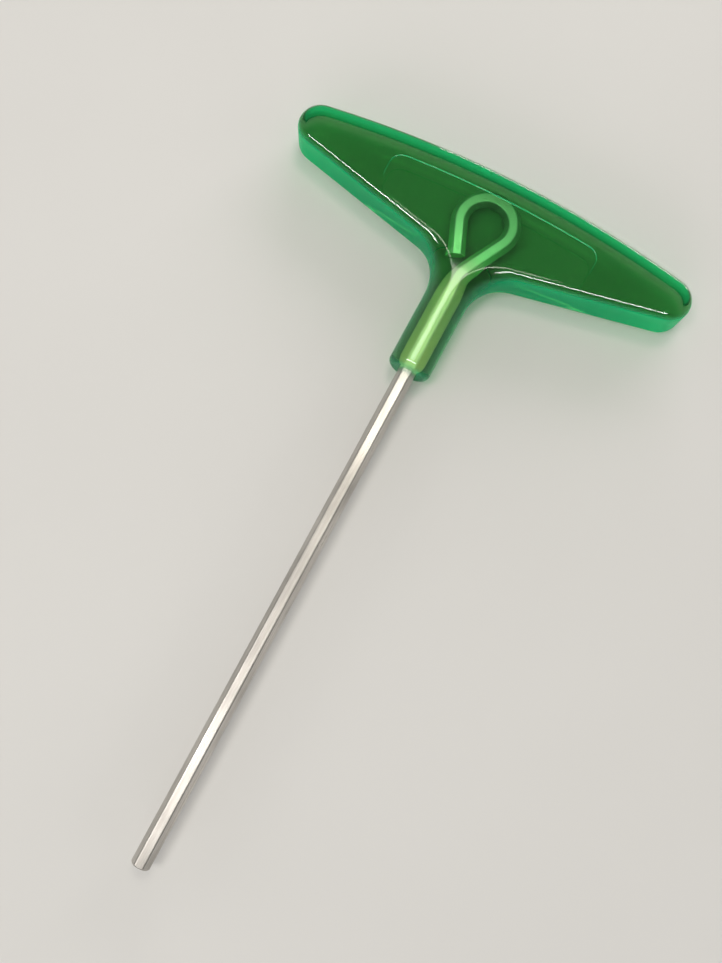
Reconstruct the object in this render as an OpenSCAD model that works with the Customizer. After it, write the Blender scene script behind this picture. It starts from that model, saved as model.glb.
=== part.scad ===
// T-handle hex key, lying on its side.
// A hexagonal steel bar runs from the free blade up through the neck and ends
// in a round eye, and a clear plastic handle is moulded over that eye.
// X runs along the handle, Y along the blade towards the handle's crest.

/* [Hex bar] */
// Size of the hexagon across its flats, 3/16 in
hex_flats = 4.7625; // [3.5:0.0125:6]
// How far the long edges of the bar are rounded back from sharp corners
corner_break = 0.08; // [0.02:0.02:0.2]
// Length of the blade that stands out of the handle, 6 in
blade_l = 152.4; // [60:0.1:250]
// Chamfer around the blade's end
tip_chamfer = 0.6; // [0.2:0.1:1.2]

/* [Eye inside the handle] */
// Centreline radius of the round eye
eye_r = 8.1; // [7:0.1:9]
// Plastic between the outside of the eye and the handle's crest
eye_cover = 4.9; // [3:0.1:7]
// Angle of the leg that leads from the neck to the eye
lead_angle = 26.5; // [24:0.5:32]
// Angle of the short leg that closes the eye
return_angle = 21.5; // [10:0.5:24]
// Length of the short leg
return_l = 11; // [6:0.5:11.5]
// Centreline radius of the bend at the neck
bend_r = 10; // [8:0.5:14]

/* [Handle] */
// Width of the handle from tip to tip
handle_w = 130; // [110:1:160]
// Thickness of the handle
handle_t = 13; // [11:0.5:18]
// Radius of the bowed crest
crest_r = 340; // [250:1:600]
// Radius of the tips, seen from above
tip_r = 7; // [5:0.1:9]
// Slope of the arms' lower edges
arm_slope = 12.75; // [10:0.25:16]
// Rounding along the edges of the arms
edge_r = 2.5; // [1:0.1:4]

/* [Neck] */
// Length of the neck below the point where the arms' lower edges would meet
neck_l = 35; // [25:1:60]
// Width of the flat strip where the neck runs into the faces of the handle
neck_flat = 1; // [0.6:0.1:3]
// Radius of the blend between the arms and the neck
blend_r = 15.5; // [8:0.5:18]
// Rounding around the neck's end
rim_r = 2; // [0.5:0.1:3]

/* [Face panels] */
// Width of the sunk panel on each face
panel_w = 68; // [40:1:80]
// Distance of the panel from the crest
panel_crest_gap = 8; // [5:0.5:10]
// Distance of the panel from the arms' lower edges
panel_arm_gap = 5; // [4:0.5:8]
// Corner radius of the panel
panel_corner_r = 4; // [1:0.5:4.5]
// Depth of the panel
panel_depth = 0.35; // [0.2:0.05:0.6]

/* [Gate mark] */
// Place of the gate mark along the crest
gate_x = -7.5; // [-20:0.5:20]
// Diameter of the gate mark
gate_d = 3.6; // [2:0.1:5]
// Depth of the gate mark below the crest
gate_depth = 0.4; // [0.2:0.1:0.8]

/* [Hidden] */

// Points along each stretch of the handle's outline, and its layers
crest_steps = 14;
tip_steps = 12;
blend_steps = 10;
end_steps = 6;
layers = 20;

// The hexagon's corners, and the section left once they are rounded
hex_corners = hex_flats / cos(30);
bar_corners = hex_corners - 2 * corner_break;

// Half of the thickness, which is also the height of the bar's axis
half_t = handle_t / 2;
neck_r = sqrt(half_t * half_t + neck_flat * neck_flat / 4);

// Centres of the tips, on Y = 0, and of the crest's arc below them
tip_x = handle_w / 2 - tip_r;
crest_cy = -sqrt((crest_r - tip_r) * (crest_r - tip_r) - tip_x * tip_x);
crest_y = crest_cy + crest_r;
crest_end = atan2(-crest_cy, tip_x);

// Where the lower edges would meet, the neck's end and the blade's end
arms_meet_y = -tip_x * tan(arm_slope) - tip_r / cos(arm_slope);
neck_end_y = arms_meet_y - neck_l;
blade_end_y = neck_end_y - blade_l;

// The eye's centre, where the lead leg crosses the neck's axis, and the bend
eye_y = crest_y - eye_cover - hex_corners / 2 - eye_r;
lead_cross_y = eye_y - eye_r / sin(lead_angle);
bend_trim = bend_r * tan(lead_angle / 2);
bend_y = lead_cross_y - bend_trim;
lead_l = eye_r / tan(lead_angle) - bend_trim;

// How far each straight length runs on into the bends, so that the bar is one body
run_on = 0.02;

// Moves the middle of the whole length to the origin
centre_y = -(crest_y + blade_end_y) / 2;

// How far the arms' edge is drawn in at a height above the middle plane
function edge_inset(h) =
    let (d = max(0, abs(h) - (half_t - edge_r)))
    edge_r - sqrt(max(0, edge_r * edge_r - d * d));

// Half width of the round neck at that height
function neck_half(h) = sqrt(neck_r * neck_r - h * h);

// Height of an arm's lower edge at x, drawn in by an inset
function arm_edge_y(x, inset) = (x - tip_x) * tan(arm_slope) - (tip_r - inset) / cos(arm_slope);

// How far the neck's end is drawn back at a distance from the axis
function rim_back(rho) =
    let (d = max(0, rho - (neck_r - rim_r)))
    rim_r - sqrt(max(0, rim_r * rim_r - d * d));

// Points on an arc from angle a to angle b, both ends included
function arc(cx, cy, r, a, b, steps) =
    [for (i = [0 : steps]) let (t = a + (b - a) * i / steps) [cx + r * cos(t), cy + r * sin(t)]];

// Right half of the handle's outline at a height above the middle plane,
// from the crest's middle round the tip and the blend to the neck's end
function half_outline(h) =
    let (
        inset = edge_inset(h),
        w = neck_half(h),
        blend_x = w + blend_r,
        blend_y = arm_edge_y(blend_x, inset) - blend_r / cos(arm_slope)
    )
    concat(
        arc(0, crest_cy, crest_r - inset, 90, crest_end, crest_steps),
        arc(tip_x, 0, tip_r - inset, crest_end, arm_slope - 90, tip_steps),
        arc(blend_x, blend_y, blend_r, 90 + arm_slope, 180, blend_steps),
        [for (i = [0 : end_steps])
            let (x = w * cos(90 * i / end_steps))
            [x, neck_end_y + rim_back(sqrt(x * x + h * h))]]
    );

// The whole outline: the right half down, then the left half back up
function ring(h) =
    let (right = half_outline(h), n = len(right) - 1)
    concat(
        [for (p = right) [p[0], p[1], h]],
        [for (i = [n - 1 : -1 : 1]) [-right[i][0], right[i][1], h]]
    );

// Height of a layer: equal steps of angle around the neck
function layer_h(i) =
    let (top = asin(half_t / neck_r))
    neck_r * sin(top * (2 * i / layers - 1));

// Hexagon with rounded corners, one flat facing up
module hex_section() {
    intersection() {
        circle(d = hex_corners, $fn = 6);
        circle(d = bar_corners, $fn = 96);
    }
}

// Straight length of bar along +Y from the origin, run on by a hair at both ends
module straight_bar(length) {
    translate([0, -run_on, 0])
        rotate([-90, 0, 0])
            linear_extrude(height = length + 2 * run_on)
                hex_section();
}

// Bar bent around the origin from an angle over a sweep
module bent_bar(radius, start, sweep) {
    rotate([0, 0, start])
        rotate_extrude(angle = sweep, $fn = 96)
            translate([radius, 0])
                hex_section();
}

// The straight blade and its run through the neck, with its end chamfered
module straight_run() {
    run_l = bend_y - blade_end_y;
    cone_r = hex_corners / 2 + 1;
    translate([0, blade_end_y, 0])
        intersection() {
            straight_bar(run_l);
            rotate([-90, 0, 0])
                rotate_extrude($fn = 96)
                    polygon([
                        [0, 0],
                        [hex_corners / 2 - tip_chamfer, 0],
                        [cone_r, tip_chamfer + 1],
                        [cone_r, run_l + 2 * run_on],
                        [0, run_l + 2 * run_on]
                    ]);
        }
}

// The bar's end inside the handle: bend, lead leg, eye and short return leg
module eye_run() {
    translate([bend_r, bend_y, 0])
        bent_bar(bend_r, 180 - lead_angle, lead_angle);
    translate([bend_r * (1 - cos(lead_angle)), bend_y + bend_r * sin(lead_angle), 0])
        rotate([0, 0, -lead_angle])
            straight_bar(lead_l);
    translate([0, eye_y, 0])
        bent_bar(eye_r, -lead_angle, 180 + lead_angle + return_angle);
    translate([-eye_r * cos(return_angle), eye_y - eye_r * sin(return_angle), 0])
        rotate([0, 0, 180 + return_angle])
            straight_bar(return_l);
}

// The bar with its axis on the handle's middle plane
module bar_shape() {
    straight_run();
    eye_run();
}

// The moulding before the panels, the gate mark and the bar are taken out:
// a stack of outlines skinned into one smooth body
module handle_blank() {
    rings = [for (i = [0 : layers]) ring(layer_h(i))];
    n = len(rings[0]);
    half = n / 2;
    points = [for (r = rings) each r];
    top = layers * n;
    sides = [for (k = [0 : layers - 1], j = [0 : n - 1])
        let (a = k * n + j, b = k * n + (j + 1) % n)
        each [[a, a + n, b + n], [a, b + n, b]]];
    caps = [for (j = [0 : half - 1])
        let (l = (n - j) % n, m = n - j - 1)
        each concat(
            j == 0 ? [] : [[l, j, m], [top + j, top + l, top + m]],
            j == half - 1 ? [] : [[j, j + 1, m], [top + j + 1, top + j, top + m]]
        )];
    polyhedron(points = points, faces = concat(sides, caps), convexity = 10);
}

// The panel's outline: inside the crest's arc and the arms' lower edges
module panel_outline() {
    meet_y = arms_meet_y + panel_arm_gap / cos(arm_slope);
    offset(r = panel_corner_r, $fn = 48)
        offset(delta = -panel_corner_r)
            intersection() {
                translate([0, crest_cy])
                    circle(r = crest_r - panel_crest_gap, $fn = 720);
                translate([-panel_w / 2, meet_y])
                    square([panel_w, crest_y - meet_y]);
                polygon([
                    [0, meet_y],
                    [panel_w, meet_y + panel_w * tan(arm_slope)],
                    [panel_w, crest_y],
                    [-panel_w, crest_y],
                    [-panel_w, meet_y + panel_w * tan(arm_slope)]
                ]);
            }
}

// Both sunk panels, as the solid that is taken out of the moulding
module panel_cuts() {
    translate([0, 0, half_t - panel_depth])
        linear_extrude(height = panel_depth + 1)
            panel_outline();
    translate([0, 0, -half_t - 1])
        linear_extrude(height = panel_depth + 1)
            panel_outline();
}

// The round mark that the mould's gate leaves in the crest
module gate_cut() {
    wall_y = crest_cy + sqrt(crest_r * crest_r - gate_x * gate_x);
    translate([gate_x, wall_y - gate_depth, 0])
        rotate([-90, 0, 0])
            cylinder(d = gate_d, h = gate_depth + 1, $fn = 48);
}

// Sets a shape on the resting plane, with the tool's middle at the origin
module placed() {
    translate([0, centre_y, half_t])
        children();
}

module hex_bar() {
    color([0.80, 0.79, 0.76])
        placed()
            bar_shape();
}

module t_handle() {
    color([0.02, 0.45, 0.22, 0.7])
        placed()
            difference() {
                handle_blank();
                panel_cuts();
                gate_cut();
                bar_shape();
            }
}

hex_bar();
t_handle();
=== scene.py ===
# %% [markdown]
# # A T-handle hex key in clear green plastic
# The tool is a hexagonal steel bar with a plastic handle moulded over its bent
# end. It lies on its side on a pale bench, and the camera looks almost straight
# down at it. Shape and size come from the CAD frame. This lesson adds what only
# light can show: a clear body that bends light, and a drawn steel bar inside it.

# %% Load the frame
from math import asin, atan2, cos, pi, radians, sin, sqrt, tan

import bmesh
import bpy
from mathutils import Matrix, Vector


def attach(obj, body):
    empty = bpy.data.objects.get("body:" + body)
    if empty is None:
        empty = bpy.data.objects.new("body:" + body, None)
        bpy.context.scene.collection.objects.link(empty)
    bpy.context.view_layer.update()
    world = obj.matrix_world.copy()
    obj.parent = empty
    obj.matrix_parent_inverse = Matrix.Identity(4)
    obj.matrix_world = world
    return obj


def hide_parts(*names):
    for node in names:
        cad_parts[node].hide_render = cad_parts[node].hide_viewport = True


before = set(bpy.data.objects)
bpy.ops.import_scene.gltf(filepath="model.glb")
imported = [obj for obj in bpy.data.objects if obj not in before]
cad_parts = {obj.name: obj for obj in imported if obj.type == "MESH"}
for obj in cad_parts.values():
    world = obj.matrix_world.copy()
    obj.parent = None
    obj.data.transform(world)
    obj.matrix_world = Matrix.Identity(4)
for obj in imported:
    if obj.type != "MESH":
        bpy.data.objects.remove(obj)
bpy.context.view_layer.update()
print("frame nodes:", sorted(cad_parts))

# %% [markdown]
# ## The sizes that drive the handle
# Everything is in metres. The handle's crest, tips and neck are arcs and
# straight lines, so a few radii and one slope give its whole plan. They are the
# sizes that the CAD part is built from, and the tool's middle is at the origin.

# %% Sizes of the handle
handle_w = 0.130
handle_t = 0.013
crest_r = 0.340
tip_r = 0.007
arm_slope = radians(12.75)
edge_r = 0.0025
neck_l = 0.035
neck_flat = 0.001
blend_r = 0.0155
rim_r = 0.002
blade_l = 0.1524

half_t = handle_t / 2
neck_r = sqrt(half_t ** 2 + neck_flat ** 2 / 4)
tip_x = handle_w / 2 - tip_r
print(f"neck {neck_r * 2000:.2f} mm thick, tips' centres {tip_x * 2000:.0f} mm apart")

# %% [markdown]
# ## Places along the blade's axis
# The crest's arc runs into the tips' arcs without a corner, so its centre is
# found from the tips. The arms' lower edges lean by one angle, and the neck is
# measured from the point where they would meet.

# %% Places
tip_drop = sqrt((crest_r - tip_r) ** 2 - tip_x ** 2)
arms_meet = -tip_x * tan(arm_slope) - tip_r / cos(arm_slope)
tip_y = (neck_l + blade_l - arms_meet - (crest_r - tip_drop)) / 2
crest_cy = tip_y - tip_drop
crest_y = crest_cy + crest_r
crest_end = atan2(tip_drop, tip_x)
meet_y = tip_y + arms_meet
neck_end_y = meet_y - neck_l
blade_end_y = neck_end_y - blade_l
print(f"crest at {crest_y:.5f}, neck's end at {neck_end_y:.5f}, blade's end at {blade_end_y:.5f}")

# %% [markdown]
# ## Two strokes for drawing an outline
# An outline is drawn as with a pen. An arc is the last vertex spun about a
# centre, and a straight stretch is the last vertex extruded and moved. The
# straight stretch is cut into short pieces, so that the smooth shading at its
# ends doesn't run out along it.

# %% Arc and straight stretch
UPWARD = Vector((0, 0, 1))


def draw_arc(bm, last, centre, angle, steps):
    """Spins the last vertex about centre and returns the vertex at the arc's end."""
    made = bmesh.ops.spin(bm, geom=[last], cent=centre, axis=UPWARD, angle=angle, steps=steps)
    return next(part for part in made["geom_last"] if isinstance(part, bmesh.types.BMVert))


def draw_straight(bm, last, target, pieces):
    """Extrudes the last vertex to target, in even pieces, and returns the vertex there."""
    start = last.co.copy()
    for step in range(pieces):
        last = bmesh.ops.extrude_vert_indiv(bm, verts=[last])["verts"][0]
        last.co = start.lerp(Vector(target), (step + 1) / pieces)
    return last


# %% [markdown]
# ## One layer of the handle
# The moulding is rounded all along its outer edge, and its neck is a round rod.
# Rounding a solid afterwards would not give both at once, so the handle is made
# of layers. In each, the arms follow the rounding of their edge, and the neck
# follows its own circle. Only a quarter is drawn: the right half, above the
# middle plane. The rest is a mirror image.

# %% Outline of a layer
CREST_STEPS = 26
TIP_STEPS = 20
ARM_STEPS = 10
BLEND_STEPS = 16
NECK_STEPS = 8


def edge_inset(height):
    """How far the arms' outline is drawn in at a height above the middle plane."""
    rise = max(0.0, height - (half_t - edge_r))
    return edge_r - sqrt(max(0.0, edge_r ** 2 - rise ** 2))


def draw_layer(bm, height):
    """Draws the quarter outline at a height and returns its edges."""
    before = set(bm.edges)
    inset = edge_inset(height)
    neck_half = sqrt(neck_r ** 2 - height ** 2)
    blend_x = neck_half + blend_r
    arm_edge = tip_y + (blend_x - tip_x) * tan(arm_slope) - (tip_r - inset) / cos(arm_slope)
    blend_centre = Vector((blend_x, arm_edge - blend_r / cos(arm_slope), height))
    arm_end = blend_centre + blend_r * Vector((-sin(arm_slope), cos(arm_slope), 0))
    pen = bm.verts.new((0, crest_y - inset, height))
    pen = draw_arc(bm, pen, (0, crest_cy, height), crest_end - pi / 2, CREST_STEPS)
    pen = draw_arc(bm, pen, (tip_x, tip_y, height), arm_slope - pi / 2 - crest_end, TIP_STEPS)
    pen = draw_straight(bm, pen, arm_end, ARM_STEPS)
    pen = draw_arc(bm, pen, blend_centre, pi / 2 - arm_slope, BLEND_STEPS)
    draw_straight(bm, pen, (neck_half, neck_end_y + rim_r, height), NECK_STEPS)
    return [edge for edge in bm.edges if edge not in before]


# %% [markdown]
# ## The moulding's side wall
# The layers lie close together where the wall turns over into the flat face.
# Each pair of neighbours is bridged, which skins the wall from the middle plane
# up to the edge of the face.

# %% Skin the layers
WALL_STEPS = 7
ROUND_STEPS = 12
straight_h = half_t - edge_r

handle = bmesh.new()
neck_turn = asin(straight_h / neck_r)
heights = [neck_r * sin(neck_turn * step / WALL_STEPS) for step in range(WALL_STEPS)]
heights += [straight_h + edge_r * sin(pi / 2 * step / ROUND_STEPS) for step in range(ROUND_STEPS + 1)]
layers = [draw_layer(handle, height) for height in heights]
for lower, upper in zip(layers, layers[1:]):
    bmesh.ops.bridge_loops(handle, edges=lower + upper)
print("side wall:", len(layers), "layers,", len(handle.faces), "faces")

# %% [markdown]
# ## The sunk panel
# Each face of the real handle has a shallow panel, where the mould holds a
# plate. Here the panel is bare. Its outline keeps one distance from the crest
# and another from the arms, and its corners are rounded.

# %% Sizes of the panel
panel_half = 0.034
panel_crest_gap = 0.008
panel_arm_gap = 0.005
panel_corner_r = 0.004
panel_depth = 0.00035

panel_top_r = crest_r - panel_crest_gap
panel_meet_y = meet_y + panel_arm_gap / cos(arm_slope)
print(f"panel {panel_half * 2000:.0f} mm wide and {panel_depth * 1000:.2f} mm deep")

# %% Draw the panel's half outline
PANEL_STEPS = 20
CORNER_STEPS = 10
PANEL_END_STEPS = 2


def draw_panel(bm, height):
    """Draws the right half of the panel's outline and returns its edges."""
    before = set(bm.edges)
    corner_x = panel_half - panel_corner_r
    top_turn = asin(corner_x / (panel_top_r - panel_corner_r))
    top_y = crest_cy + (panel_top_r - panel_corner_r) * cos(top_turn)
    low_y = panel_meet_y + corner_x * tan(arm_slope) + panel_corner_r / cos(arm_slope)
    top_centre = Vector((corner_x, top_y, height))
    low_centre = Vector((corner_x, low_y, height))
    foot_centre = Vector((0, panel_meet_y + panel_corner_r / cos(arm_slope), height))
    lean = panel_corner_r * Vector((sin(arm_slope), -cos(arm_slope), 0))
    pen = bm.verts.new((0, crest_cy + panel_top_r, height))
    pen = draw_arc(bm, pen, (0, crest_cy, height), -top_turn, PANEL_STEPS)
    pen = draw_arc(bm, pen, top_centre, top_turn - pi / 2, CORNER_STEPS)
    pen = draw_straight(bm, pen, low_centre + Vector((panel_corner_r, 0, 0)), PANEL_END_STEPS)
    pen = draw_arc(bm, pen, low_centre, arm_slope - pi / 2, CORNER_STEPS)
    pen = draw_straight(bm, pen, foot_centre + lean, ARM_STEPS)
    draw_arc(bm, pen, foot_centre, -arm_slope, CORNER_STEPS)
    return [edge for edge in bm.edges if edge not in before]


# %% [markdown]
# ## Lay the flat face and sink the panel
# The panel's outline is pushed down by its depth, which leaves a small wall.
# Then the flat face is closed between the outer edge and the panel, and the
# panel's floor is closed too.

# %% Sink the panel
def fresh_loop(made):
    """The vertices that an extrude has made, and the edges between them."""
    verts = [part for part in made if isinstance(part, bmesh.types.BMVert)]
    edges = [part for part in made if isinstance(part, bmesh.types.BMEdge)]
    return verts, [edge for edge in edges if all(vert in verts for vert in edge.verts)]


panel_rim = draw_panel(handle, half_t)
floor_verts, panel_floor = fresh_loop(bmesh.ops.extrude_edge_only(handle, edges=panel_rim)["geom"])
bmesh.ops.translate(handle, verts=floor_verts, vec=(0, 0, -panel_depth))
print("panel's outline:", len(panel_floor), "edges")

# %% Close the face and the panel's floor
def ends_of(edges):
    """The two end vertices of an open chain, the one nearer to the crest first."""
    chain = set(edges)
    ends = {v for e in edges for v in e.verts if len(chain.intersection(v.link_edges)) == 1}
    return sorted(ends, key=lambda v: -v.co.y)


face_top, face_foot = ends_of(layers[-1])
rim_top, rim_foot = ends_of(panel_rim)
middle_foot = handle.verts.new((0, face_foot.co.y, half_t))
closing = [
    handle.edges.new((face_top, rim_top)),
    handle.edges.new((rim_foot, middle_foot)),
    handle.edges.new((middle_foot, face_foot)),
]
bmesh.ops.contextual_create(handle, geom=layers[-1] + panel_rim + closing)
floor_top, floor_foot = ends_of(panel_floor)
closing = [handle.edges.new((floor_top, floor_foot))]
bmesh.ops.contextual_create(handle, geom=panel_floor + closing)
print("quarter of the handle:", len(handle.faces), "faces")

# %% [markdown]
# ## Mirror the quarter
# Both the tool and its mould are the same on the left and on the right, and on
# the upper and on the lower face. So the quarter is mirrored twice and the
# seams are merged.

# %% Mirror it
MERGE = 1e-6

for axis in ("X", "Z"):
    whole = handle.verts[:] + handle.edges[:] + handle.faces[:]
    bmesh.ops.mirror(handle, geom=whole, axis=axis, merge_dist=MERGE)
bmesh.ops.remove_doubles(handle, verts=handle.verts[:], dist=MERGE)
print("mirrored:", len(handle.faces), "faces")

# %% [markdown]
# ## The neck's end
# The neck is still open where the blade comes out. Its rim is rounded as on a
# lathe: the open edge is extruded again and again, and each new ring is moved
# along and drawn in along a quarter circle. Then the end is closed.

# %% Turn the rim
RIM_STEPS = 10


def next_ring(bm, rim):
    """Extrudes an open edge loop and returns the new loop's vertices and edges."""
    return fresh_loop(bmesh.ops.extrude_edge_only(bm, edges=rim)["geom"])


rim = [edge for edge in handle.edges if edge.is_boundary]
for step in range(RIM_STEPS):
    turn = pi / 2 * (step + 1) / RIM_STEPS
    last_turn = pi / 2 * step / RIM_STEPS
    shrink = (neck_r - rim_r * (1 - cos(turn))) / (neck_r - rim_r * (1 - cos(last_turn)))
    ring, rim = next_ring(handle, rim)
    bmesh.ops.scale(handle, verts=ring, vec=(shrink, 1, shrink))
    bmesh.ops.translate(handle, verts=ring, vec=(0, -rim_r * (sin(turn) - sin(last_turn)), 0))
bmesh.ops.contextual_create(handle, geom=rim)
bmesh.ops.translate(handle, verts=handle.verts[:], vec=(0, 0, half_t))
bmesh.ops.recalc_face_normals(handle, faces=handle.faces[:])
print("handle:", len(handle.faces), "faces, open edges:", sum(not e.is_manifold for e in handle.edges))

# %% [markdown]
# ## Soften the panel's edges
# Polished steel moulds have no knife edges, and a sharp step would catch no
# light. The steps of both panels are the only sharp edges of the moulding, so
# they can be picked by their angle and bevelled.

# %% Bevel the steps
STEP_ANGLE = radians(60)
STEP_SOFTENING = 0.00012

steps = [edge for edge in handle.edges if edge.calc_face_angle(0) > STEP_ANGLE]
bmesh.ops.bevel(
    handle, geom=steps, offset=STEP_SOFTENING, offset_type="OFFSET", segments=2,
    profile=0.5, affect="EDGES", material=-1,
)
print("softened step edges:", len(steps))

# %% [markdown]
# ## The gate mark
# The plastic enters the mould through a round gate in the crest, a little left
# of the middle, and leaves a shallow disc there. The crest is bowed, so a disc
# drawn into its faces would have to follow the curve. Instead a short cylinder
# is taken out of the wall with a Boolean modifier, and the result is read back.

# %% Cut one shape out of another
def cut_away(bm, cutter):
    """Takes the cutter's solid out of bm's and returns what is left as a bmesh."""
    things = []
    for name, shape in (("body", bm), ("cutter", cutter)):
        mesh = bpy.data.meshes.new(name)
        shape.to_mesh(mesh)
        shape.free()
        things.append(bpy.data.objects.new(name, mesh))
        bpy.context.scene.collection.objects.link(things[-1])
    body, tool = things
    cut = body.modifiers.new("cut", "BOOLEAN")
    cut.operation = "DIFFERENCE"
    cut.solver = "EXACT"
    cut.object = tool
    left = bmesh.new()
    left.from_object(body, bpy.context.evaluated_depsgraph_get())
    for thing in things:
        bpy.data.objects.remove(thing)
    return left


# %% Cut the gate mark
GATE_SEGMENTS = 48
gate_x = -0.0075
gate_r = 0.0018
gate_depth = 0.0004

gate = bmesh.new()
bmesh.ops.create_cone(
    gate, cap_ends=True, segments=GATE_SEGMENTS, radius1=gate_r, radius2=gate_r, depth=2 * gate_depth,
)
bmesh.ops.rotate(gate, verts=gate.verts[:], cent=(0, 0, 0), matrix=Matrix.Rotation(pi / 2, 3, "X"))
gate_y = crest_cy + sqrt(crest_r ** 2 - gate_x ** 2)
bmesh.ops.translate(gate, verts=gate.verts[:], vec=(gate_x, gate_y, half_t))
handle = cut_away(handle, gate)
bmesh.ops.remove_doubles(handle, verts=handle.verts[:], dist=MERGE)
open_edges = sum(not e.is_manifold for e in handle.edges)
print("with the gate mark:", len(handle.faces), "faces, open edges:", open_edges)

# %% [markdown]
# ## From a bmesh to a piece
# Every piece is finished the same way. It gets an object, smooth shading and
# its material, and it rides on the only body.

# %% Finish a piece
SMOOTH_ANGLE = radians(35)


def finished(name, bm, material):
    """Makes an object from bm and sets it up as a piece of the tool."""
    mesh = bpy.data.meshes.new(name)
    bm.to_mesh(mesh)
    bm.free()
    mesh.shade_smooth()
    mesh.set_sharp_from_angle(angle=SMOOTH_ANGLE)
    piece = bpy.data.objects.new(name, mesh)
    bpy.context.scene.collection.objects.link(piece)
    mesh.materials.append(material)
    weighted = piece.modifiers.new("even_shading", "WEIGHTED_NORMAL")
    weighted.keep_sharp = True
    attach(piece, "root")
    print(name, "has", len(mesh.polygons), "faces")
    return piece


# %% A short way to write nodes
def new_material(name):
    """A new material, with short ways to add a node and to link two sockets."""
    material = bpy.data.materials.new(name)
    material.use_nodes = True
    tree = material.node_tree

    def make(kind, fields=None, **values):
        """Adds a node and sets the fields and sockets that are named."""
        node = tree.nodes.new(kind)
        for key, value in (fields or {}).items():
            setattr(node, key, value)
        for key, value in values.items():
            node.inputs[key.replace("_", " ")].default_value = value
        return node

    return material, make, tree.links.new


# %% [markdown]
# ## Scratches in the plastic
# A handle that lies among other tools gets fine scratches. They could be drawn
# one by one, but a noise that is stretched a lot along one direction and kept
# only at its peaks gives the same short hairlines. Two of them cross.

# %% Scratches
SCRATCH_LAYS = (
    (0.5, (700.0, 45.0, 700.0)),
    (-0.9, (620.0, 38.0, 620.0)),
)


def scratches(make, link, place):
    """Short hairlines in two directions: 1 on a scratch and 0 beside it."""
    either = make("ShaderNodeMath", {"operation": "MAXIMUM"})
    for socket, (slant, stretch) in zip(either.inputs, SCRATCH_LAYS):
        lay = make("ShaderNodeMapping", Rotation=(0.0, 0.0, slant), Scale=stretch)
        streaks = make("ShaderNodeTexNoise", Scale=1.0, Detail=2.0)
        peaks = make("ShaderNodeMapRange", From_Min=0.70, From_Max=0.78)
        link(place.outputs["Object"], lay.inputs["Vector"])
        link(lay.outputs["Vector"], streaks.inputs["Vector"])
        link(streaks.outputs["Fac"], peaks.inputs["Value"])
        link(peaks.outputs["Result"], socket)
    return either.outputs["Value"]


# %% [markdown]
# ## The clear surface
# The surface of the plastic is clear glass with the plastic's index. Its gloss
# is uneven: handling leaves a faint haze, and each scratch is duller than the
# rest. The moulding also shrinks a little as it sets, which leaves slow waves.
# They are a bump with the scratches cut into it.

# %% Gloss and bump
PLASTIC_IOR = 1.49
SURFACE_TINT = (0.94, 1.0, 0.86, 1)
SCRATCH_DULLNESS = 0.22


def clear_surface(make, link, place, shader):
    """Sets up the glass with its haze, its scratches and its moulded waves."""
    shader.inputs["Base Color"].default_value = SURFACE_TINT
    shader.inputs["Transmission Weight"].default_value = 1.0
    shader.inputs["IOR"].default_value = PLASTIC_IOR
    hairlines = scratches(make, link, place)
    smears = make("ShaderNodeTexNoise", Scale=60.0, Detail=6.0)
    haze = make("ShaderNodeMapRange", From_Min=0.35, From_Max=0.75, To_Min=0.005, To_Max=0.07)
    dullness = make("ShaderNodeMath", {"operation": "MULTIPLY_ADD"})
    dullness.inputs[1].default_value = SCRATCH_DULLNESS
    link(place.outputs["Object"], smears.inputs["Vector"])
    link(smears.outputs["Fac"], haze.inputs["Value"])
    link(hairlines, dullness.inputs[0])
    link(haze.outputs["Result"], dullness.inputs[2])
    link(dullness.outputs["Value"], shader.inputs["Roughness"])
    flow = make("ShaderNodeTexNoise", Scale=75.0, Detail=1.0)
    waves = make("ShaderNodeBump", Strength=0.30, Distance=0.00012)
    grooves = make("ShaderNodeBump", {"invert": True}, Strength=0.20, Distance=0.00002)
    link(place.outputs["Object"], flow.inputs["Vector"])
    link(flow.outputs["Fac"], waves.inputs["Height"])
    link(hairlines, grooves.inputs["Height"])
    link(waves.outputs["Normal"], grooves.inputs["Normal"])
    link(grooves.outputs["Normal"], shader.inputs["Normal"])


# %% [markdown]
# ## The side walls
# On the real handle the upright walls gather light and glow, while the faces
# stay deep green. Clear glass alone shows that only where a lamp happens to
# stand behind a wall. So an upright wall is partly satin: it passes and returns
# a little green light by itself. The share grows from the neck to the crest,
# and the flat faces have none.

# %% Satin share of the walls
FACE_UPRIGHTNESS = 0.90
WALL_UPRIGHTNESS = 0.10
SATIN_SHARE = 0.54
NECK_FACTOR = 0.5
CREST_FACTOR = 1.45
LIGHT_PASSED = (0.01, 0.94, 0.48, 1)
LIGHT_RETURNED = (0.015, 0.68, 0.34, 1)
RETURNED_SHARE = 0.40


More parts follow.
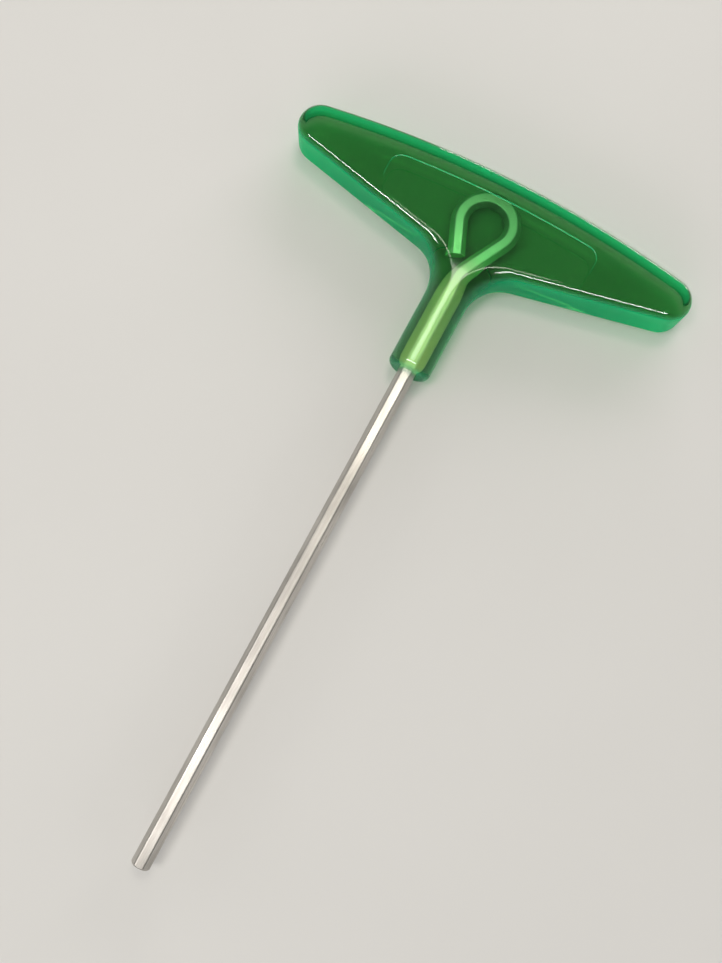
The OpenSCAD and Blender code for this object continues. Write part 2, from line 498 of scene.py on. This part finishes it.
def satin_share(make, link, place):
    """How satin the surface is: nothing on a face, most on the crest's wall."""
    facing = make("ShaderNodeSeparateXYZ")
    level = make("ShaderNodeMath", {"operation": "ABSOLUTE"})
    upright = make("ShaderNodeMapRange", {"interpolation_type": "SMOOTHSTEP"}, To_Max=SATIN_SHARE)
    upright.inputs["From Min"].default_value = FACE_UPRIGHTNESS
    upright.inputs["From Max"].default_value = WALL_UPRIGHTNESS
    spot = make("ShaderNodeSeparateXYZ")
    factor = make("ShaderNodeMapRange", To_Min=NECK_FACTOR, To_Max=CREST_FACTOR)
    factor.inputs["From Min"].default_value = neck_end_y
    factor.inputs["From Max"].default_value = crest_y
    share = make("ShaderNodeMath", {"operation": "MULTIPLY"})
    link(place.outputs["Normal"], facing.inputs["Vector"])
    link(facing.outputs["Z"], level.inputs[0])
    link(level.outputs["Value"], upright.inputs["Value"])
    link(place.outputs["Object"], spot.inputs["Vector"])
    link(spot.outputs["Y"], factor.inputs["Value"])
    link(upright.outputs["Result"], share.inputs[0])
    link(factor.outputs["Result"], share.inputs[1])
    return share.outputs["Value"]


def with_satin_walls(make, link, place, clear):
    """Mixes the clear surface with a satin one on the walls and returns the result."""
    passed = make("ShaderNodeBsdfTranslucent", Color=LIGHT_PASSED)
    returned = make("ShaderNodeBsdfDiffuse", Color=LIGHT_RETURNED)
    satin = make("ShaderNodeMixShader", Fac=RETURNED_SHARE)
    wall = make("ShaderNodeMixShader")
    link(passed.outputs["BSDF"], satin.inputs[1])
    link(returned.outputs["BSDF"], satin.inputs[2])
    link(satin_share(make, link, place), wall.inputs["Fac"])
    link(clear.outputs["BSDF"], wall.inputs[1])
    link(satin.outputs["Shader"], wall.inputs[2])
    return wall.outputs["Shader"]


# %% [markdown]
# ## The clear green plastic
# Light loses its red as it travels through the plastic. The colour could be
# painted on the surface, but then thin and thick parts would look the same. So
# the colour is absorbed inside, which makes thick parts deeper. Light that only
# casts the shadow passes straight through, with one green tint, because glass
# would otherwise throw a black shadow.

# %% Material of the handle
SHADOW_TINT = (0.28, 0.66, 0.50, 1)
DEPTH_COLOUR = (0.10, 0.50, 0.18, 1)
DEPTH_DENSITY = 165.0


def clear_green_plastic():
    """Clear plastic, tinted through its depth, with satin walls and fine scratches."""
    material, make, link = new_material("clear_green_plastic")
    shader = material.node_tree.nodes["Principled BSDF"]
    output = material.node_tree.nodes["Material Output"]
    place = make("ShaderNodeTexCoord")
    clear_surface(make, link, place, shader)
    path = make("ShaderNodeLightPath")
    passing = make("ShaderNodeBsdfTransparent", Color=SHADOW_TINT)
    choice = make("ShaderNodeMixShader")
    depth = make("ShaderNodeVolumeAbsorption", Color=DEPTH_COLOUR, Density=DEPTH_DENSITY)
    link(path.outputs["Is Shadow Ray"], choice.inputs["Fac"])
    link(with_satin_walls(make, link, place, shader), choice.inputs[1])
    link(passing.outputs["BSDF"], choice.inputs[2])
    link(choice.outputs["Shader"], output.inputs["Surface"])
    link(depth.outputs["Volume"], output.inputs["Volume"])
    print(material.name, "has", len(material.node_tree.nodes), "nodes")
    return material


clear_handle = finished("clear_handle", handle, clear_green_plastic())
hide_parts("t_handle")

# %% [markdown]
# ## The hexagonal bar
# Hexagon bar is drawn through a die, bent cold round a pin, and cut off. So one
# section is drawn, and its open end is extruded along the bar's whole way: the
# blade, the bend at the neck, the leg, the eye and the short return leg. Each
# vertex also remembers where it sat before the bar was bent, so that the drawn
# lines can follow the bends.

# %% Sizes of the bar
hex_flats = 0.0047625
hex_corner = hex_flats / sqrt(3)
corner_softening = 0.0003
tip_chamfer = 0.0006
eye_r = 0.0081
eye_cover = 0.0049
lead_angle = radians(26.5)
return_angle = radians(21.5)
return_l = 0.011
bend_r = 0.010

eye_y = crest_y - eye_cover - hex_corner - eye_r
bend_trim = bend_r * tan(lead_angle / 2)
bend_y = eye_y - eye_r / sin(lead_angle) - bend_trim
lead_l = eye_r / tan(lead_angle) - bend_trim
print(f"bend at {bend_y:.5f}, eye at {eye_y:.5f}, leg of {lead_l * 1000:.2f} mm")

# %% [markdown]
# ## Draw the section
# A circle of six segments is a hexagon. Its corners are rounded with a vertex
# bevel, and its flats are cut into short edges, because the chamfer at the
# blade's end will run round them in a curve.

# %% The section, with one flat facing up
CORNER_SEGMENTS = 4
FLAT_CUTS = 7

bar = bmesh.new()
bmesh.ops.create_circle(bar, cap_ends=False, segments=6, radius=hex_corner)
bmesh.ops.rotate(bar, verts=bar.verts[:], cent=(0, 0, 0), matrix=Matrix.Rotation(pi / 2, 3, "X"))
first_corner = max(bar.verts, key=lambda v: v.co.x)
level_turn = atan2(first_corner.co.z, first_corner.co.x)
bmesh.ops.rotate(bar, verts=bar.verts[:], cent=(0, 0, 0), matrix=Matrix.Rotation(level_turn, 3, "Y"))
bmesh.ops.bevel(
    bar, geom=bar.verts[:], offset=corner_softening, offset_type="OFFSET", segments=CORNER_SEGMENTS,
    profile=0.5, affect="VERTICES", material=-1,
)
flats = [edge for edge in bar.edges if edge.calc_length() > hex_corner / 2]
bmesh.ops.subdivide_edges(bar, edges=flats, cuts=FLAT_CUTS)
width = max(v.co.x for v in bar.verts) - min(v.co.x for v in bar.verts)
height = max(v.co.z for v in bar.verts) - min(v.co.z for v in bar.verts)
print(f"section: {len(bar.verts)} vertices, {width * 1000:.3f} mm wide, {height * 1000:.3f} mm high")

# %% [markdown]
# ## The blade's end
# The end is faced and chamfered on a lathe. On a hexagon that leaves a round
# end face, and the cone behind it meets each flat in a curve. The section is
# extruded once. The first loop is pulled in to the round face, and the second
# is drawn back by as much as each of its vertices stands out from it.

# %% Chamfer the end
unbent = bar.verts.layers.float_vector.new("unbent")
face_r = hex_corner - tip_chamfer

bmesh.ops.translate(bar, verts=bar.verts[:], vec=(0, blade_end_y, 0))
for vert in bar.verts:
    vert[unbent] = vert.co
end_face = bar.edges[:]
end_verts = bar.verts[:]
ring, rim = next_ring(bar, end_face)
for vert in ring:
    vert.co.y += Vector((vert.co.x, vert.co.z)).length - face_r
    vert[unbent] = vert.co
for vert in end_verts:
    pull = face_r / Vector((vert.co.x, vert.co.z)).length
    vert.co.x *= pull
    vert.co.z *= pull
bmesh.ops.contextual_create(bar, geom=end_face)
print(f"end face {face_r * 2000:.2f} mm across")

# %% [markdown]
# ## Along the bar's way
# A straight stretch moves the open end along in even pieces, and a bend turns it
# about the bend's centre in small steps. Both count how far the bar has come.

# %% Straight stretches and bends
def run_straight(bm, rim, heading, length, pieces, way):
    """Extrudes the open end along heading and returns the new end and the way so far."""
    for step in range(pieces):
        ring, rim = next_ring(bm, rim)
        way += length / pieces
        bmesh.ops.translate(bm, verts=ring, vec=Vector(heading) * length / pieces)
        for vert in ring:
            vert[unbent].y = way
    return rim, way


def run_bend(bm, rim, centre, radius, angle, steps, way):
    """Turns the open end about centre and returns the new end and the way so far."""
    turn = Matrix.Rotation(angle / steps, 3, "Z")
    for step in range(steps):
        ring, rim = next_ring(bm, rim)
        way += radius * abs(angle) / steps
        bmesh.ops.rotate(bm, verts=ring, cent=centre, matrix=turn)
        for vert in ring:
            vert[unbent].y = way
    return rim, way


# %% Run the bar from its tip to the end of the return leg
BEHIND_TIP = 0.002
BLADE_PIECES = 30
LEG_PIECES = 6
BEND_STEPS = 12
EYE_STEPS = 76

ring, rim = next_ring(bar, rim)
way = blade_end_y + BEHIND_TIP
for vert in ring:
    vert.co.y = way
    vert[unbent].y = way
lead_heading = (sin(lead_angle), cos(lead_angle), 0)
return_heading = (sin(return_angle), -cos(return_angle), 0)
eye_turn = pi + lead_angle + return_angle
rim, way = run_straight(bar, rim, (0, 1, 0), bend_y - way, BLADE_PIECES, way)
rim, way = run_bend(bar, rim, (bend_r, bend_y, 0), bend_r, -lead_angle, BEND_STEPS, way)
rim, way = run_straight(bar, rim, lead_heading, lead_l, LEG_PIECES, way)
rim, way = run_bend(bar, rim, (0, eye_y, 0), eye_r, eye_turn, EYE_STEPS, way)
rim, bar_end = run_straight(bar, rim, return_heading, return_l, LEG_PIECES, way)
bmesh.ops.contextual_create(bar, geom=rim)
bmesh.ops.translate(bar, verts=bar.verts[:], vec=(0, 0, half_t))
bmesh.ops.recalc_face_normals(bar, faces=bar.faces[:])
open_edges = sum(not e.is_manifold for e in bar.edges)
print(f"bar: {(bar_end - blade_end_y) * 1000:.1f} mm long, open edges: {open_edges}")

# %% [markdown]
# ## Colour of the steel
# The die leaves fine lines along the bar, so the noise for its tone is stretched
# along the unbent bar. A larger, softer noise gives the faint stains that
# handling leaves. Inside the plastic the bar's colour is painted: a painted tint,
# straw in the neck and green in the eye, and painted shade, darkest at the top of
# the eye. It stands in for the light that reaches the bar through the plastic.
# The plastic alone would turn it one dull olive, and the real one shows these
# livelier colours.

# %% Tone, stains, and painted tint and shade
LIGHT_STEEL = (0.72, 0.70, 0.67, 1)
DARK_STEEL = (0.50, 0.47, 0.43, 1)
# Painted tint and shade: the bar's colours inside the plastic stand in for light through it, darkest
# at the top of the eye.
PAINTED_TINT_AND_SHADE_STOPS = (
    (0.00, (1.00, 0.90, 0.62, 1)),
    (0.33, (0.95, 0.95, 0.62, 1)),
    (0.45, (0.50, 1.00, 0.55, 1)),
    (0.71, (0.18, 0.42, 0.22, 1)),
    (0.95, (0.50, 1.00, 0.55, 1)),
)


def ramp(make, stops):
    """A colour ramp with the stops given, each a position and a colour."""
    node = make("ShaderNodeValToRGB")
    elements = node.color_ramp.elements
    for element, (position, colour) in zip(elements, (stops[0], stops[-1])):
        element.position = position
        element.color = colour
    for position, colour in stops[1:-1]:
        elements.new(position).color = colour
    return node


def steel_colour(make, link, spot, lines, stains, inside):
    """Stained steel on the blade, and a painted tint and shade where the bar is inside the plastic."""
    tone = ramp(make, ((0.25, DARK_STEEL), (0.75, LIGHT_STEEL)))
    dull = make("ShaderNodeMapRange", From_Min=0.30, From_Max=0.62, To_Min=0.72, To_Max=1.0)
    stained = make("ShaderNodeMix", {"data_type": "RGBA", "blend_type": "MULTIPLY"}, Factor=1.0)
    along = make("ShaderNodeMapRange")
    along.inputs["From Min"].default_value = neck_end_y
    along.inputs["From Max"].default_value = bar_end
    # Painted tint and shade replace the steel's own tone where the bar is inside the plastic.
    painted_tint = ramp(make, PAINTED_TINT_AND_SHADE_STOPS)
    colour = make("ShaderNodeMix", {"data_type": "RGBA", "blend_type": "MIX"})
    link(lines.outputs["Fac"], tone.inputs["Fac"])
    link(stains.outputs["Fac"], dull.inputs["Value"])
    link(tone.outputs["Color"], stained.inputs[6])
    link(dull.outputs["Result"], stained.inputs[7])
    link(spot.outputs["Y"], along.inputs["Value"])
    link(along.outputs["Result"], painted_tint.inputs["Fac"])
    link(inside.outputs["Result"], colour.inputs["Factor"])
    link(stained.outputs[2], colour.inputs[6])
    link(painted_tint.outputs["Color"], colour.inputs[7])
    return colour.outputs[2]


# %% [markdown]
# ## Gloss of the steel
# The lines and the stains change the gloss too. Inside the plastic the bar's
# slanted flats are duller than the blade's, so that they show as plain bands
# beside the bright upper flat, as they do on the real tool.

# %% Gloss
SLANTED_DULLNESS = 0.50
LEVEL_DULLNESS = 0.02


def steel_gloss(make, link, lines, stains, inside):
    """The steel's roughness, with more of it on slanted flats inside the plastic."""
    rough = make("ShaderNodeMapRange", To_Min=0.20, To_Max=0.44)
    rub = make("ShaderNodeMapRange", From_Min=0.35, From_Max=0.65, To_Min=0.12, To_Max=-0.04)
    both = make("ShaderNodeMath", {"operation": "ADD"})
    place = make("ShaderNodeTexCoord")
    facing = make("ShaderNodeSeparateXYZ")
    level = make("ShaderNodeMath", {"operation": "ABSOLUTE"})
    slanted = make("ShaderNodeMapRange", From_Min=0.95, From_Max=0.60)
    slanted.inputs["To Min"].default_value = LEVEL_DULLNESS
    slanted.inputs["To Max"].default_value = SLANTED_DULLNESS
    gloss = make("ShaderNodeMath", {"operation": "MULTIPLY_ADD"})
    link(lines.outputs["Fac"], rough.inputs["Value"])
    link(stains.outputs["Fac"], rub.inputs["Value"])
    link(rough.outputs["Result"], both.inputs[0])
    link(rub.outputs["Result"], both.inputs[1])
    link(place.outputs["Normal"], facing.inputs["Vector"])
    link(facing.outputs["Z"], level.inputs[0])
    link(level.outputs["Value"], slanted.inputs["Value"])
    link(slanted.outputs["Result"], gloss.inputs[0])
    link(inside.outputs["Result"], gloss.inputs[1])
    link(both.outputs["Value"], gloss.inputs[2])
    return gloss.outputs["Value"]


# %% [markdown]
# ## Drawn steel
# Both parts read the same two noises. Their place is the vertex attribute that
# was kept from before the bending, so the lines run round the eye with the bar.

# %% Material of the bar
LINE_STRETCH = (2600.0, 26.0, 2600.0)
STAIN_STRETCH = (1.6, 0.5, 1.6)
ENTRY_START = neck_end_y - 0.0005
ENTRY_END = neck_end_y + 0.0020


def drawn_steel():
    """Bright drawn steel with fine lines along the bar and faint stains."""
    material, make, link = new_material("drawn_steel")
    shader = material.node_tree.nodes["Principled BSDF"]
    shader.inputs["Metallic"].default_value = 1.0
    place = make("ShaderNodeAttribute", {"attribute_name": "unbent"})
    stretch = make("ShaderNodeMapping", Scale=LINE_STRETCH)
    lines = make("ShaderNodeTexNoise", Scale=1.0, Detail=6.0, Roughness=0.6)
    blotch = make("ShaderNodeMapping", Scale=STAIN_STRETCH)
    stains = make("ShaderNodeTexNoise", Scale=90.0, Detail=5.0, Roughness=0.55)
    spot = make("ShaderNodeSeparateXYZ")
    inside = make("ShaderNodeMapRange")
    inside.inputs["From Min"].default_value = ENTRY_START
    inside.inputs["From Max"].default_value = ENTRY_END
    bump = make("ShaderNodeBump", Strength=0.25, Distance=0.00002)
    link(place.outputs["Vector"], stretch.inputs["Vector"])
    link(place.outputs["Vector"], blotch.inputs["Vector"])
    link(place.outputs["Vector"], spot.inputs["Vector"])
    link(stretch.outputs["Vector"], lines.inputs["Vector"])
    link(blotch.outputs["Vector"], stains.inputs["Vector"])
    link(spot.outputs["Y"], inside.inputs["Value"])
    link(lines.outputs["Fac"], bump.inputs["Height"])
    link(bump.outputs["Normal"], shader.inputs["Normal"])
    link(steel_colour(make, link, spot, lines, stains, inside), shader.inputs["Base Color"])
    link(steel_gloss(make, link, lines, stains, inside), shader.inputs["Roughness"])
    print(material.name, "has", len(material.node_tree.nodes), "nodes")
    return material


bent_bar = finished("bent_hex_bar", bar, drawn_steel())
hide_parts("hex_bar")

# %% [markdown]
# ## The bench
# The floor is plain and pale. It takes the tool's shadow, and the clear plastic
# shows it through both faces.

# %% Material of the floor
def pale_floor():
    """A pale matt surface with a faint unevenness."""
    material, make, link = new_material("pale_floor")
    shader = material.node_tree.nodes["Principled BSDF"]
    shader.inputs["Roughness"].default_value = 0.6
    place = make("ShaderNodeTexCoord")
    cloud = make("ShaderNodeTexNoise", Scale=9.0, Detail=4.0)
    tone = ramp(make, ((0.0, (0.70, 0.685, 0.66, 1)), (1.0, (0.75, 0.735, 0.71, 1))))
    link(place.outputs["Object"], cloud.inputs["Vector"])
    link(cloud.outputs["Fac"], tone.inputs["Fac"])
    link(tone.outputs["Color"], shader.inputs["Base Color"])
    return material


# %% Floor
FLOOR_HALF = 1.0
FLOOR_GAP = 0.0001

floor_shape = bmesh.new()
bmesh.ops.create_grid(floor_shape, x_segments=1, y_segments=1, size=FLOOR_HALF)
floor_mesh = bpy.data.meshes.new("floor")
floor_shape.to_mesh(floor_mesh)
floor_shape.free()
floor_mesh.transform(Matrix.Translation((0, 0, -FLOOR_GAP)))
floor = bpy.data.objects.new("floor", floor_mesh)
bpy.context.scene.collection.objects.link(floor)
floor_mesh.materials.append(pale_floor())
print(f"floor {2 * FLOOR_HALF:.0f} m wide, {FLOOR_GAP * 1000:.1f} mm below the tool")

# %% [markdown]
# ## Light from above
# Polished steel shows what it mirrors. The blade's upper flat mirrors a strip
# high above it, so a long lamp hangs there and the flat is bright from end to
# end. A second lamp stands where the bar in the neck mirrors it. The key lamp
# is on the left and gives the tool its soft shadow.

# %% Lamps above
LAMP_HEIGHT = 0.95


def lamp(name, place, aim, size, power, colour):
    """A rectangular lamp at place that faces aim."""
    data = bpy.data.lights.new(name, "AREA")
    data.shape = "RECTANGLE"
    data.size, data.size_y = size
    data.energy = power
    data.color = colour
    light = bpy.data.objects.new(name, data)
    light.location = place
    light.rotation_euler = (Vector(aim) - Vector(place)).to_track_quat("-Z", "Y").to_euler()
    bpy.context.scene.collection.objects.link(light)
    print(f"{name}: {size[0]} x {size[1]} m, {power} W")
    return light


lamp(
    "key_lamp", (-0.30, -0.25, LAMP_HEIGHT), aim=(0, 0.02, 0),
    size=(0.28, 0.28), power=2.2, colour=(1.0, 0.97, 0.93),
)
lamp(
    "blade_lamp", (-0.07, -0.10, LAMP_HEIGHT), aim=(-0.07, -0.10, 0),
    size=(0.16, 0.80), power=0.50, colour=(1.0, 0.96, 0.88),
)
lamp(
    "neck_lamp", (-0.07, 0.41, LAMP_HEIGHT), aim=(-0.07, 0.41, 0),
    size=(0.30, 0.23), power=1.6, colour=(1.0, 0.97, 0.85),
)

# %% [markdown]
# ## Gleams along the rounded edges
# Thin white lines along the rounded edges show that the plastic is polished.
# They are mirror images of two long, strong lamps. On the steel the same lamps
# would burn out, so they are linked to the plastic only. They are hidden from
# its diffuse and clear parts too, and only its gloss shows them.

# %% Gleams
GLEAM_COLOUR = (1.0, 0.99, 0.96)

arm_gleam = lamp(
    "arm_gleam", (-0.06, -0.24, LAMP_HEIGHT), aim=(-0.06, 0.05, 0),
    size=(1.04, 0.20), power=14.0, colour=GLEAM_COLOUR,
)
crest_gleam = lamp(
    "crest_gleam", (0.15, 1.0, 0.10), aim=(0, tip_y, 0),
    size=(0.70, 0.08), power=3.6, colour=GLEAM_COLOUR,
)
plastic_only = bpy.data.collections.new("plastic_only")
plastic_only.objects.link(clear_handle)
for gleam in (arm_gleam, crest_gleam):
    gleam.visible_diffuse = False
    gleam.visible_transmission = False
    gleam.light_linking.receiver_collection = plastic_only

# %% [markdown]
# ## Low light on the walls
# Four wide panels stand low around the tool, one on each side. They light the
# upright walls, the one at the back most, because it is what makes the crest
# glow. A glossy surface would mirror them as hard white shapes at some angles,
# so gloss doesn't show them.

# %% Low panels
PANEL_DISTANCE = 1.1
PANEL_HEIGHT = 0.30
PANEL_SIZE = (1.2, 0.5)
PANEL_COLOUR = (1.0, 1.0, 1.0)
SIDES = (("back", 0, 1, 10.5), ("front", 0, -1, 5.4), ("left", -1, 0, 2.2), ("right", 1, 0, 2.2))

for name, x, y, power in SIDES:
    place = (PANEL_DISTANCE * x, tip_y + PANEL_DISTANCE * y, PANEL_HEIGHT)
    panel = lamp(name + "_panel", place, (0, tip_y, 0.05), PANEL_SIZE, power, PANEL_COLOUR)
    panel.visible_glossy = False

# %% [markdown]
# ## The sky
# The world is pale near the horizon, where it meets the floor's edge and the
# sides of the steel mirror it. It is dimmer overhead, because the flat faces
# mirror that part and have to stay deep.

# %% World
SKY_COLOUR = (1.0, 0.99, 0.97, 1)
SKY_FADE = (("From Min", 0.20), ("From Max", 0.60), ("To Min", 0.60), ("To Max", 0.20))

world = bpy.data.worlds.new("studio")
bpy.context.scene.world = world
world.use_nodes = True
sky = world.node_tree
background = sky.nodes["Background"]
background.inputs["Color"].default_value = SKY_COLOUR
heading = sky.nodes.new("ShaderNodeTexCoord")
climb = sky.nodes.new("ShaderNodeSeparateXYZ")
fade = sky.nodes.new("ShaderNodeMapRange")
for socket, value in SKY_FADE:
    fade.inputs[socket].default_value = value
sky.links.new(heading.outputs["Generated"], climb.inputs["Vector"])
sky.links.new(climb.outputs["Z"], fade.inputs["Value"])
sky.links.new(fade.outputs["Result"], background.inputs["Strength"])
print("sky's strength:", SKY_FADE[2][1], "low,", SKY_FADE[3][1], "high")

# %% [markdown]
# ## The camera
# The photograph was taken by hand from a quarter of a metre above the blade.
# The place, the turn and the lens come from the tool's own outline in it.

# %% Camera
camera_data = bpy.data.cameras.new("camera")
camera_data.sensor_width = 36.0
camera_data.lens = 33.68
camera_data.clip_start = 0.01
camera = bpy.data.objects.new("camera", camera_data)
camera.location = (0.01853, tip_y - 0.13888, 0.25721)
camera.rotation_euler = (radians(11.276), radians(-2.082), radians(27.728))
bpy.context.scene.collection.objects.link(camera)
bpy.context.scene.camera = camera
bpy.context.scene.view_settings.view_transform = "Standard"
print(f"camera {camera.location.z * 1000:.0f} mm above the bench")
